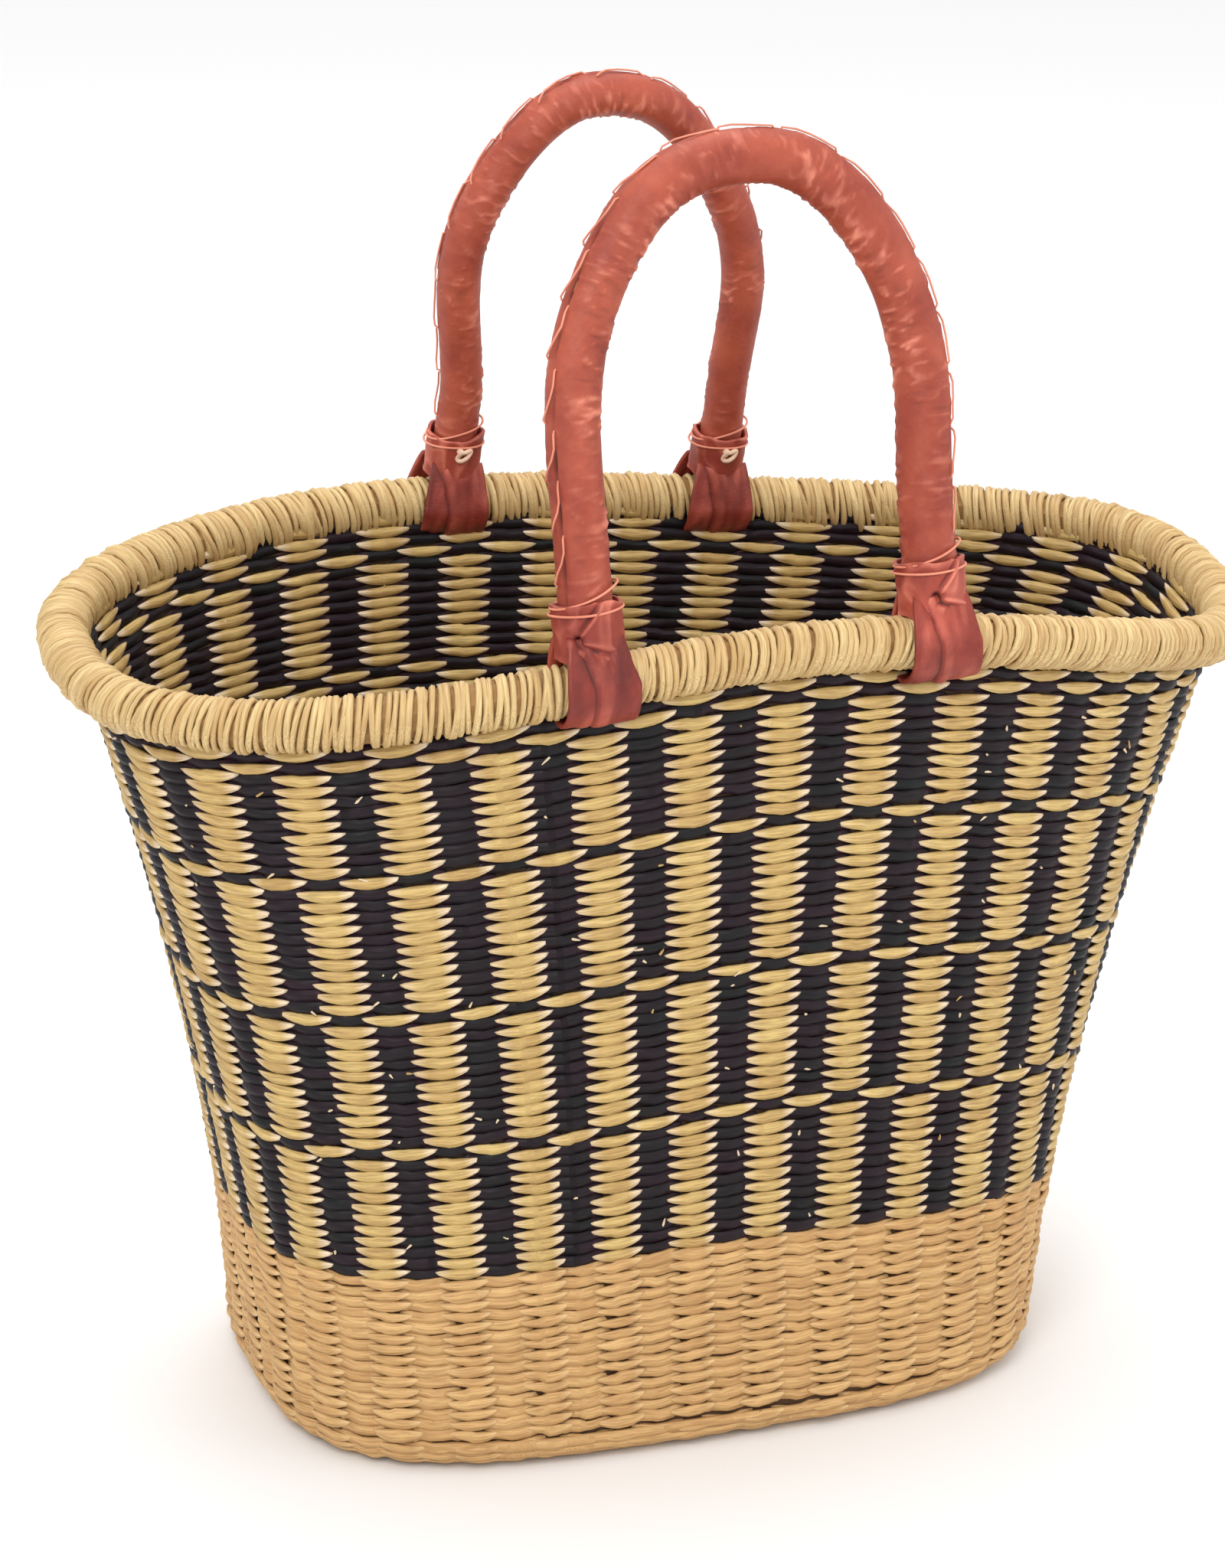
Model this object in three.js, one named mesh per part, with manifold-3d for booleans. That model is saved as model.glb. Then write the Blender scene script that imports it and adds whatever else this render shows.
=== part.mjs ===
import * as THREE from "three";
import { mergeVertices } from "three/addons/utils/BufferGeometryUtils.js";
import Module from "manifold-3d";

// An oval market basket of twined grass, with two leather-covered hoop handles looped round its rim.
// Millimetres, +Z up, X along the basket, -Y its front. The origin is level with the underside of the base,
// below the middle of the rim.

// Rim: a grass bundle bent into an oval, bound all round.
const RIM_HALF_LENGTH = 210;
const RIM_HALF_WIDTH = 104.5;
const RIM_SQUARENESS = 2.35;
const RIM_HEIGHT = 283;
const RIM_RADIUS = 9;
const BINDING_THICKNESS = 1.3;

// The rim is made by eye: round the oval it rises and falls in waves, so many to the turn, each with a share
// that follows the cosine and a share that follows the sine. The second lifts the long sides and drops the ends.
const RIM_WAVES = [
  { perTurn: 1, cosine: -3.7, sine: 2.4 },
  { perTurn: 2, cosine: -8.5, sine: -2.4 },
  { perTurn: 3, cosine: 0, sine: 4.4 },
  { perTurn: 4, cosine: 1.8, sine: 1.9 },
];

// Woven fabric: the middle of its thickness runs from the base oval up to the rim.
const BASE_HALF_LENGTH = 142;
const BASE_HALF_WIDTH = 92;
const BASE_SQUARENESS = 3.3;
const BASE_SHIFT = -7;
const BASE_EDGE_RADIUS = 11;
const FABRIC = 6;
const FLARE_POWER = 1.5;
const RIM_INSET = 5;
const PLAIN_HEIGHT = 73.5;

// Handles: a grass core in a laced leather cover, with a leather loop and cuff at each foot.
const COVER_THICKNESS = 1.2;
const LACE_RADIUS = 0.8;
const LOOP_CLEARANCE = 2.9;
const LOOP_LEATHER = 1.8;
const LOOP_HALF_WIDTH = 13;
const TAB_LEATHER = 1;
const TAB_HALF_WIDTH = 3.5;
const CUFF_THICKNESS = 1.2;
const CUFF_HEIGHT = 17.5;
const CUFF_ABOVE_LOOP = 0.8;
const TAB_BELOW_CUFF_TOP = 2;
const PEG_RADIUS = 1.4;
const PEG_BELOW_CUFF_TOP = 5.5;
const KNOT_RADIUS = 3.2;
const KNOT_THICKNESS = 2.2;
const TIE_RADIUS = 0.8;
const LEG_HEIGHT = 42;

const HANDLES = [
  { name: "front", side: -1, middle: -1, halfSpan: 60, bulge: 0.06, rise: 164.5, squareness: 2.42, radius: 9.5, lean: 12.4 },
  { name: "back", side: 1, middle: 5, halfSpan: 51.5, bulge: 0.12, rise: 156, squareness: 2.36, radius: 8.1, lean: 8.4 },
];

const GAP = 0.3;
const AROUND = 60;

const grass = new THREE.MeshStandardMaterial({ color: 0xc9a565, roughness: 0.75 });
const bindingGrass = new THREE.MeshStandardMaterial({ color: 0xd8ba78, roughness: 0.7 });
const patternedGrass = new THREE.MeshStandardMaterial({ color: 0x8a7050, roughness: 0.75 });
const leather = new THREE.MeshStandardMaterial({ color: 0xb85a3c, roughness: 0.55 });
const darkLeather = new THREE.MeshStandardMaterial({ color: 0x9c3f33, roughness: 0.55 });
const knotFibre = new THREE.MeshStandardMaterial({ color: 0xe6d3b0, roughness: 0.8 });

const wasm = await Module();
wasm.setup();

const basket = new THREE.Group();

function add(parent, name, geometry, material) {
  const mesh = new THREE.Mesh(geometry, material);
  mesh.name = name;
  parent.add(mesh);
  return mesh;
}

// ---- Booleans

function toSolid(geometry) {
  const bare = geometry.clone();
  bare.deleteAttribute("normal");
  bare.deleteAttribute("uv");
  const merged = mergeVertices(bare, 1e-4);
  const vertProperties = merged.attributes.position.array;
  const triVerts = new Uint32Array(merged.index.array);
  return new wasm.Manifold(new wasm.Mesh({ numProp: 3, vertProperties, triVerts }));
}

function toGeometry(solid) {
  const mesh = solid.getMesh();
  const position = new THREE.BufferAttribute(new Float32Array(mesh.vertProperties), 3);
  return new THREE.BufferGeometry()
    .setAttribute("position", position)
    .setIndex(new THREE.BufferAttribute(new Uint32Array(mesh.triVerts), 1));
}

function cut(geometry, ...tools) {
  return toGeometry(tools.reduce((solid, tool) => solid.subtract(toSolid(tool)), toSolid(geometry)));
}

// ---- Ovals: superellipses, all drawn from the same angle t, so that a stake keeps its t from base to rim

function ovalPoint(halfLength, halfWidth, squareness, t) {
  const c = Math.cos(t);
  const s = Math.sin(t);
  const scale = (Math.abs(c) ** squareness + Math.abs(s) ** squareness) ** (-1 / squareness);
  return new THREE.Vector3(halfLength * c * scale, halfWidth * s * scale, 0);
}

const rimOval = (t) => ovalPoint(RIM_HALF_LENGTH, RIM_HALF_WIDTH, RIM_SQUARENESS, t);
const shift = new THREE.Vector3(BASE_SHIFT, 0, 0);
const baseOval = (t) => ovalPoint(BASE_HALF_LENGTH, BASE_HALF_WIDTH, BASE_SQUARENESS, t).add(shift);

function rimHeight(t) {
  const wave = ({ perTurn, cosine, sine }) => cosine * Math.cos(perTurn * t) + sine * Math.sin(perTurn * t);
  return RIM_WAVES.reduce((height, each) => height + wave(each), RIM_HEIGHT);
}

// The outward level normal of a family of points oval(t).
function outward(oval, t) {
  const step = 1e-3;
  const along = oval(t + step).sub(oval(t - step));
  return new THREE.Vector3(along.y, -along.x, 0).normalize();
}

function rimPoint(t, out, up) {
  const point = rimOval(t).addScaledVector(outward(rimOval, t), out);
  return point.setZ(rimHeight(t) + up);
}

// A point of the fabric at a share k of the height of the rim's centreline, moved out from mid-thickness.
function fabricPoint(k, t, out) {
  const oval = (a) => baseOval(a).lerp(rimOval(a), k ** FLARE_POWER);
  const point = oval(t).addScaledVector(outward(oval, t), out - RIM_INSET * k);
  return point.setZ(k * rimHeight(t));
}

const shareAt = (height) => height / RIM_HEIGHT;

// How far a rounded bottom edge of a given radius stands in at a height above its lowest point.
function edgeInset(radius, height) {
  const below = Math.max(radius - height, 0);
  return radius - Math.sqrt(radius * radius - below * below);
}

const ring = (pointAt) => Array.from({ length: AROUND }, (_, j) => pointAt((2 * Math.PI * j) / AROUND));

const outerRing = (k) => ring((t) => fabricPoint(k, t, FABRIC / 2 - edgeInset(BASE_EDGE_RADIUS, k * RIM_HEIGHT)));

function innerRing(k) {
  const inset = edgeInset(BASE_EDGE_RADIUS - FABRIC, k * RIM_HEIGHT - FABRIC);
  return ring((t) => fabricPoint(k, t, -FABRIC / 2 - inset));
}

// Joins rings that run anticlockwise seen from above, listed up the outside and down the inside.
function loft(rings, capped) {
  const points = rings.flat();
  const faces = [];
  const last = capped ? rings.length - 1 : rings.length;
  for (let i = 0; i < last; i++) {
    const here = i * AROUND;
    const next = ((i + 1) % rings.length) * AROUND;
    for (let j = 0; j < AROUND; j++) {
      const k = (j + 1) % AROUND;
      faces.push(here + j, here + k, next + k, here + j, next + k, next + j);
    }
  }
  if (capped) {
    const top = (rings.length - 1) * AROUND;
    for (let j = 1; j < AROUND - 1; j++) {
      faces.push(0, j + 1, j, top, top + j, top + j + 1);
    }
  }
  return new THREE.BufferGeometry().setFromPoints(points).setIndex(faces);
}

// ---- Woven body

function baseWeave() {
  const heights = [0, 1, 3, FABRIC];
  return loft(heights.map((z) => outerRing(shareAt(z))), true);
}

// A belt of wall from one share of the height to another, with rings at the shares between.
function wallBelt(shares) {
  return loft([...shares.map(outerRing), ...[...shares].reverse().map(innerRing)], false);
}

function plainWall() {
  const heights = [FABRIC + GAP, BASE_EDGE_RADIUS, (BASE_EDGE_RADIUS + PLAIN_HEIGHT) / 2, PLAIN_HEIGHT - GAP];
  return wallBelt(heights.map(shareAt));
}

function patternedWall() {
  const low = shareAt(PLAIN_HEIGHT);
  const high = 1 - (RIM_RADIUS - BINDING_THICKNESS + GAP) / Math.min(...ring(rimHeight));
  const shares = [0, 1, 2, 3, 4].map((i) => low + ((high - low) * i) / 4);
  return wallBelt(shares);
}

// ---- Rim

const CORE_RADIUS = RIM_RADIUS - BINDING_THICKNESS - GAP;

function rimCore() {
  const sides = 8;
  const section = Array.from({ length: sides }, (_, i) => (2 * Math.PI * (i + 0.5)) / sides);
  return loft(section.map((a) => ring((t) => rimPoint(t, CORE_RADIUS * Math.cos(a), CORE_RADIUS * Math.sin(a)))), false);
}

// The binding is open underneath, from SLOT_FROM round to SLOT_TO, where the wall meets the core.
const SLOT_FROM = THREE.MathUtils.degToRad(218);
const SLOT_TO = THREE.MathUtils.degToRad(262);

function rimBinding() {
  const steps = 9;
  const turn = 2 * Math.PI - (SLOT_TO - SLOT_FROM);
  const angles = Array.from({ length: steps + 1 }, (_, i) => SLOT_TO + (turn * i) / steps);
  const arc = (radius) => angles.map((a) => [radius * Math.cos(a), radius * Math.sin(a)]);
  const inside = (RIM_RADIUS - BINDING_THICKNESS) / Math.cos(turn / steps / 2);
  const section = [...arc(RIM_RADIUS), ...arc(inside).reverse()];
  return loft(section.map(([out, up]) => ring((t) => rimPoint(t, out, up))), false);
}

// ---- Handles, each in its own frame: X across the hoop, Z up it, origin on the rim's centreline

const LOOP_INSIDE = RIM_RADIUS + LOOP_CLEARANCE;
const LOOP_OUTSIDE = LOOP_INSIDE + LOOP_LEATHER;
const CUFF_BOTTOM = LOOP_OUTSIDE + CUFF_ABOVE_LOOP;
const CUFF_TOP = CUFF_BOTTOM + CUFF_HEIGHT;
const TAB_TOP = CUFF_TOP - TAB_BELOW_CUFF_TOP;
const PEG_HEIGHT = CUFF_TOP - PEG_BELOW_CUFF_TOP;
const THROAT_TOP = CUFF_BOTTOM + 7.5;
const HANDLE_END = THROAT_TOP + GAP;

// Half an oval, from the top of one leg over to the other, which swells a little on its way up. It leans along
// the hinge line by the handle's slope, so that the hoop stands upright where the rim under it slopes.
class Hoop extends THREE.Curve {
  constructor(handle) {
    super();
    this.handle = handle;
  }
  getPoint(share, target = new THREE.Vector3()) {
    const { halfSpan, bulge, rise, squareness, slope } = this.handle;
    const c = -Math.cos(Math.PI * share);
    const s = Math.sin(Math.PI * share);
    const scale = (Math.abs(c) ** squareness + s ** squareness) ** (-1 / squareness);
    const swell = 1 + bulge * Math.sin(Math.PI * s * scale) ** 2;
    const up = (rise - LEG_HEIGHT) * s * scale;
    return target.set(halfSpan * c * scale * swell + slope * up, 0, LEG_HEIGHT + up);
  }
}

function handlePath(handle) {
  const foot = (x, z) => new THREE.Vector3(x, 0, z);
  const path = new THREE.CurvePath();
  path.add(new THREE.LineCurve3(foot(-handle.halfSpan, HANDLE_END), foot(-handle.halfSpan, LEG_HEIGHT)));
  path.add(new Hoop(handle));
  path.add(new THREE.LineCurve3(foot(handle.halfSpan, LEG_HEIGHT), foot(handle.halfSpan, HANDLE_END)));
  return path;
}

const HOOP_STEPS = 30;

function alongPath(section, path, curveSegments = 5) {
  return new THREE.ExtrudeGeometry(section, { extrudePath: path, steps: HOOP_STEPS, curveSegments });
}

function disc(radius) {
  return new THREE.Shape().absarc(0, 0, radius, 0, 2 * Math.PI);
}

function handleCore(handle) {
  return alongPath(disc(handle.radius - COVER_THICKNESS - GAP), handlePath(handle));
}

function handleCover(handle) {
  const section = disc(handle.radius);
  const inside = handle.radius - COVER_THICKNESS;
  section.holes.push(new THREE.Path().absarc(0, 0, inside, 0, 2 * Math.PI, true));
  return alongPath(section, handlePath(handle));
}

// The lace lies along the seam, on the outer edge of the hoop, from cuff to cuff.
function lacing(handle) {
  const hoop = new Hoop(handle);
  const points = [];
  const stops = 16;
  const clear = handle.radius + LACE_RADIUS + GAP;
  for (let i = 0; i <= stops; i++) {
    const share = 0.03 + (0.94 * i) / stops;
    const along = hoop.getTangent(share);
    points.push(hoop.getPoint(share).add(new THREE.Vector3(-along.z, 0, along.x).multiplyScalar(clear)));
  }
  return alongPath(disc(LACE_RADIUS), new THREE.CatmullRomCurve3(points), 3);
}

// A flat outline in Y and Z, drawn through in X, or one in X and Z, drawn through in Y.
function drawnThrough(shape, depth, axis, curveSegments) {
  const geometry = new THREE.ExtrudeGeometry(shape, { depth, bevelEnabled: false, curveSegments });
  geometry.translate(0, 0, -depth / 2);
  const [x, y, z] = [new THREE.Vector3(1, 0, 0), new THREE.Vector3(0, 1, 0), new THREE.Vector3(0, 0, 1)];
  const basis = axis === "x" ? [y, z, x] : [x, z, y.clone().negate()];
  return geometry.applyMatrix4(new THREE.Matrix4().makeBasis(...basis));
}

function pegHole(handle, clearance) {
  const hole = new THREE.CylinderGeometry(PEG_RADIUS + clearance, PEG_RADIUS + clearance, 4 * handle.radius, 8);
  return hole.translate(0, 0, PEG_HEIGHT);
}

// A strap passes under the rim, closes above it, and opens again into two tabs beside the handle's end.
function loop(handle) {
  const tabInside = handle.radius + GAP;
  const tabOutside = tabInside + TAB_LEATHER;
  const throat = 0.72 * tabInside;
  const shoulder = Math.asin(Math.sqrt(1 - (throat / LOOP_OUTSIDE) ** 2));
  const outline = new THREE.Shape();
  outline.moveTo(throat, CUFF_BOTTOM + 2);
  outline.lineTo(tabOutside, THROAT_TOP - 1);
  outline.lineTo(tabOutside, TAB_TOP);
  outline.lineTo(tabInside, TAB_TOP);
  outline.lineTo(tabInside, THROAT_TOP);
  outline.lineTo(-tabInside, THROAT_TOP);
  outline.lineTo(-tabInside, TAB_TOP);
  outline.lineTo(-tabOutside, TAB_TOP);
  outline.lineTo(-tabOutside, THROAT_TOP - 1);
  outline.lineTo(-throat, CUFF_BOTTOM + 2);
  outline.absarc(0, 0, LOOP_OUTSIDE, Math.PI - shoulder, 2 * Math.PI + shoulder, false);
  outline.closePath();
  outline.holes.push(new THREE.Path().absarc(0, 0, LOOP_INSIDE, 0, 2 * Math.PI, true));
  const side = drawnThrough(outline, 2 * LOOP_HALF_WIDTH, "x", 16);

  const neck = 0.85 * tabInside;
  const half = [
    [LOOP_HALF_WIDTH, -LOOP_OUTSIDE - 1],
    [0.85 * LOOP_HALF_WIDTH, 0.6 * LOOP_OUTSIDE],
    [neck, CUFF_BOTTOM - 0.5],
    [neck, CUFF_BOTTOM + 1],
    [TAB_HALF_WIDTH, THROAT_TOP - 1],
    [TAB_HALF_WIDTH, TAB_TOP + 1],
  ].map(([x, z]) => new THREE.Vector2(x, z));
  const mirrored = half.map((p) => new THREE.Vector2(-p.x, p.y)).reverse();
  const front = drawnThrough(new THREE.Shape([...half, ...mirrored]), 4 * LOOP_OUTSIDE, "y", 1);

  const strap = toSolid(side).intersect(toSolid(front)).subtract(toSolid(pegHole(handle, GAP)));
  return toGeometry(strap);
}

const cuffInside = (handle) => Math.hypot(handle.radius + GAP + TAB_LEATHER, TAB_HALF_WIDTH) + GAP;
const cuffOutside = (handle) => cuffInside(handle) + CUFF_THICKNESS;

function cuff(handle) {
  const [inside, outside] = [cuffInside(handle), cuffOutside(handle)];
  const profile = [
    [inside, CUFF_BOTTOM],
    [outside, CUFF_BOTTOM],
    [outside, CUFF_TOP],
    [inside, CUFF_TOP],
    [inside, CUFF_BOTTOM],
  ].map(([r, z]) => new THREE.Vector2(r, z));
  const sleeve = new THREE.LatheGeometry(profile, 18).rotateX(Math.PI / 2);
  return cut(sleeve, pegHole(handle, GAP));
}

// A knotted peg through the cuff, tabs and handle. Its big knot is on the side that faces the other handle.
function peg(handle) {
  const reach = cuffOutside(handle) + GAP;
  const profile = [
    [0, -reach - KNOT_THICKNESS],
    [0.6 * KNOT_RADIUS, -reach - KNOT_THICKNESS],
    [0.75 * KNOT_RADIUS, -reach],
    [PEG_RADIUS, -reach],
    [PEG_RADIUS, reach],
    [KNOT_RADIUS, reach],
    [0.8 * KNOT_RADIUS, reach + KNOT_THICKNESS],
    [0, reach + KNOT_THICKNESS],
  ].map(([r, y]) => new THREE.Vector2(r, y));
  const knotted = new THREE.LatheGeometry(profile, 8);
  if (handle.side > 0) knotted.rotateZ(Math.PI);
  return knotted.translate(0, 0, PEG_HEIGHT);
}

function tie(handle) {
  const around = new THREE.TorusGeometry(cuffOutside(handle) + TIE_RADIUS + GAP, TIE_RADIUS, 6, 18);
  return around.translate(0, 0, CUFF_TOP - 2 * TIE_RADIUS);
}

// The angle t at which the rim's centreline passes a foot.
function rimAngleAt(x, side) {
  let [low, high] = [0, Math.PI];
  for (let i = 0; i < 40; i++) {
    const middle = (low + high) / 2;
    if (rimOval(middle).x > x) low = middle;
    else high = middle;
  }
  return side * low;
}

const feet = [];

for (const made of HANDLES) {
  const ends = [-1, 1].map((end) => rimPoint(rimAngleAt(made.middle + end * made.halfSpan, made.side), 0, 0));
  feet.push(...ends);

  // The hinge line runs along the rim from foot to foot, and the hoop leans in about it.
  const group = new THREE.Group();
  const hingeLine = ends[1].clone().sub(ends[0]).normalize();
  const handle = { ...made, slope: hingeLine.z / hingeLine.x };
  group.position.copy(ends[0]).lerp(ends[1], 0.5);
  group.quaternion.setFromUnitVectors(new THREE.Vector3(1, 0, 0), hingeLine);
  group.rotateX(THREE.MathUtils.degToRad(handle.side * handle.lean));
  basket.add(group);

  const name = handle.name;
  add(group, `${name}_handle_core`, cut(handleCore(handle), ...footHoles(handle)), grass);
  add(group, `${name}_handle_cover`, cut(handleCover(handle), ...footHoles(handle)), leather);
  add(group, `${name}_handle_lacing`, lacing(handle), darkLeather);
  for (const [end, word] of [[-1, "left"], [1, "right"]]) {
    const foot = new THREE.Group();
    foot.position.x = end * handle.halfSpan;
    group.add(foot);
    add(foot, `${name}_${word}_loop`, loop(handle), darkLeather);
    add(foot, `${name}_${word}_cuff`, cuff(handle), darkLeather);
    add(foot, `${name}_${word}_peg`, peg(handle), knotFibre);
    add(foot, `${name}_${word}_tie`, tie(handle), leather);
  }
}

function footHoles(handle) {
  return [-1, 1].map((end) => pegHole(handle, GAP).translate(end * handle.halfSpan, 0, 0));
}

// ---- The body, with a gap in the fabric under the rim where each loop passes through

const PASS_CLEARANCE = 1.2;

function loopPass(foot) {
  const reach = LOOP_OUTSIDE + PASS_CLEARANCE;
  const width = 2 * (LOOP_HALF_WIDTH + PASS_CLEARANCE);
  return new THREE.BoxGeometry(width, 4 * reach, 2 * reach).translate(foot.x, foot.y, foot.z);
}

add(basket, "base_weave", baseWeave(), grass);
add(basket, "plain_wall_weave", plainWall(), grass);
add(basket, "patterned_wall_weave", cut(patternedWall(), ...feet.map(loopPass)), patternedGrass);
add(basket, "rim_core", rimCore(), grass);
add(basket, "rim_binding", rimBinding(), bindingGrass);

export default basket;
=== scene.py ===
"""An oval market basket, twined row by row from natural and near-black grass.

Its rim is bound with grass, and its two handles are covered with laced leather.

Metres, +Z up, X along the basket, -Y its front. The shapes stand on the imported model's own frame.
"""

import math

import bmesh
import bpy
import numpy as np
from mathutils import Matrix, Vector, noise


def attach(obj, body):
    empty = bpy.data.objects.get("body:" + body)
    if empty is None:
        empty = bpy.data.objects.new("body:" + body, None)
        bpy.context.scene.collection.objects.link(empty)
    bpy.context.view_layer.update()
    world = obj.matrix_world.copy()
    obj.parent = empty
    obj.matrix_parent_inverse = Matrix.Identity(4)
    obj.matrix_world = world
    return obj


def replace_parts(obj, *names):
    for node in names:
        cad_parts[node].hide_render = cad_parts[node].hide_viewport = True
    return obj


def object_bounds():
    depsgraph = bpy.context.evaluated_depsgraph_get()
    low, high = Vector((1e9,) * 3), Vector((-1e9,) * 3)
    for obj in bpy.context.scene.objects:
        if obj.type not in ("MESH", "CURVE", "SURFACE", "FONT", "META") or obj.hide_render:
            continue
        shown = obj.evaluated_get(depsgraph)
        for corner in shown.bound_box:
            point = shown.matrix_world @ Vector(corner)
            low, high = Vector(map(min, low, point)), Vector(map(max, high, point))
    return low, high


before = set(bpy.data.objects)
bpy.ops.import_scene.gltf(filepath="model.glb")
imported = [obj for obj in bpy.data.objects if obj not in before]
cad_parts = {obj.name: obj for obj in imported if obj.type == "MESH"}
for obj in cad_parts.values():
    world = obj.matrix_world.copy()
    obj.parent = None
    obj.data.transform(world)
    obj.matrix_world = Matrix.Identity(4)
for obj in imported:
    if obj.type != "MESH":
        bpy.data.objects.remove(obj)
cad_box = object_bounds()
MM = 0.001
rng = np.random.default_rng(7)

# ---------------------------------------------------------------- The basket's shape, as its solids have it

RIM_HALF_LENGTH = 210 * MM
RIM_HALF_WIDTH = 104.5 * MM
RIM_SQUARENESS = 2.35
RIM_HEIGHT = 283 * MM
# Waves of the rim's height: how many to the turn, and the shares that follow the cosine and the sine.
RIM_WAVES = [(1, -3.7 * MM, 2.4 * MM), (2, -8.5 * MM, -2.4 * MM), (3, 0, 4.4 * MM), (4, 1.8 * MM, 1.9 * MM)]

BASE_HALF_LENGTH = 142 * MM
BASE_HALF_WIDTH = 92 * MM
BASE_SQUARENESS = 3.3
BASE_SHIFT = -7 * MM
BASE_EDGE_RADIUS = 11 * MM
FABRIC = 6 * MM
FLARE_POWER = 1.5
RIM_INSET = 5 * MM

TURN = 2 * math.pi


def oval(half_length, half_width, squareness, t):
    """Points of a superellipse at the angles t, as rows of x and y."""
    c, s = np.cos(t), np.sin(t)
    scale = (np.abs(c) ** squareness + np.abs(s) ** squareness) ** (-1 / squareness)
    return np.stack([half_length * c * scale, half_width * s * scale], -1)


def rim_oval(t):
    return oval(RIM_HALF_LENGTH, RIM_HALF_WIDTH, RIM_SQUARENESS, t)


def rim_height(t):
    return RIM_HEIGHT + sum(c * np.cos(n * t) + s * np.sin(n * t) for n, c, s in RIM_WAVES)


def fabric_oval(k, t, inset=0.0):
    """The middle of the fabric in plan at a share k of the rim's height, less an even inset."""
    base = oval(BASE_HALF_LENGTH - inset, BASE_HALF_WIDTH - inset, BASE_SQUARENESS, t) + (BASE_SHIFT, 0)
    flare = k**FLARE_POWER
    return (1 - flare) * base + flare * rim_oval(t)


def level_normals(plan_at, t):
    """The level outward normals, at the angles t, of a closed plan curve that runs anticlockwise."""
    along = plan_at(t + 1e-3) - plan_at(t - 1e-3)
    normal = np.stack([along[:, 1], -along[:, 0]], -1)
    return normal / np.linalg.norm(normal, axis=1)[:, None]


def run_along(points):
    """The length run from the first point to each."""
    return np.concatenate([[0], np.cumsum(np.linalg.norm(np.diff(points, axis=0), axis=1))])


def evenly(plan_at, shares):
    """The angles t at which a closed plan curve has been run along by these shares of its length."""
    t = np.linspace(0, TURN, 1441)
    plan = plan_at(t)
    run = run_along(plan)
    whole, part = np.divmod(shares, 1.0)
    return np.interp(part, run / run[-1], t) + whole * TURN, run[-1]


def placed(name, data):
    """A new object of the scene that holds this data."""
    made = bpy.data.objects.new(name, data)
    bpy.context.scene.collection.objects.link(made)
    return made


# ---------------------------------------------------------------- Strands: curves with a small profile, made a mesh


def profile(name, half_height, half_thickness, corners):
    """A closed lens outline that a strand is drawn with. Its height lies along the strand's own up."""
    curve = bpy.data.curves.new(name, "CURVE")
    curve.dimensions = "2D"
    spline = curve.splines.new("POLY")
    spline.points.add(corners - 1)
    for i, point in enumerate(spline.points):
        a = TURN * i / corners
        point.co = (half_thickness * math.cos(a), half_height * math.sin(a), 0, 1)
    spline.use_cyclic_u = True
    return placed(name, curve)


def strands(name, runs, section, twist="Z_UP", cyclic=True, depth=None, resolution=1):
    """One mesh of many strands. Each run has points (n, 3), and may have radius, tilt, tone and tip (n)."""
    curve = bpy.data.curves.new(name, "CURVE")
    curve.dimensions = "3D"
    curve.twist_mode = twist
    curve.use_fill_caps = not cyclic
    if section is None:
        curve.bevel_depth = depth
        curve.bevel_resolution = resolution
    else:
        curve.bevel_mode = "OBJECT"
        curve.bevel_object = section
    for run in runs:
        points = run["points"]
        spline = curve.splines.new("POLY")
        spline.points.add(len(points) - 1)
        spline.points.foreach_set("co", np.column_stack([points, np.ones(len(points))]).ravel())
        spline.points.foreach_set("radius", run.get("radius", np.ones(len(points))))
        spline.points.foreach_set("tilt", run.get("tilt", np.zeros(len(points))))
        spline.use_cyclic_u = cyclic
    maker = placed(name + "_curve", curve)
    graph = bpy.context.evaluated_depsgraph_get()
    mesh = bpy.data.meshes.new_from_object(maker.evaluated_get(graph))
    bpy.data.objects.remove(maker)
    bpy.data.curves.remove(curve)
    mesh.name = name

    counted = sum(len(run["points"]) for run in runs)
    around = len(mesh.vertices) // counted
    ring = TURN * np.arange(around) / around
    per_point = {
        "along": [run_along(run["points"]) + run.get("start", 0.0) for run in runs],
        "tone": [run.get("tone", np.zeros(len(run["points"]))) for run in runs],
        "tip": [run.get("tip", np.zeros(len(run["points"]))) for run in runs],
    }
    values = {key: np.repeat(np.concatenate(parts), around) for key, parts in per_point.items()}
    values["side_a"] = np.tile(np.cos(ring), counted)
    values["side_b"] = np.tile(np.sin(ring), counted)
    for key, given in values.items():
        whole = np.zeros(len(mesh.vertices))
        whole[: len(given)] = given
        mesh.attributes.new(key, "FLOAT", "POINT").data.foreach_set("value", whole)
    mesh.shade_smooth()
    return placed(name, mesh)


# ---------------------------------------------------------------- Materials


def socket(group, name, kind, way, default=None):
    made = group.interface.new_socket(name=name, in_out=way, socket_type=kind)
    if default is not None:
        made.default_value = default
    return made


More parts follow.
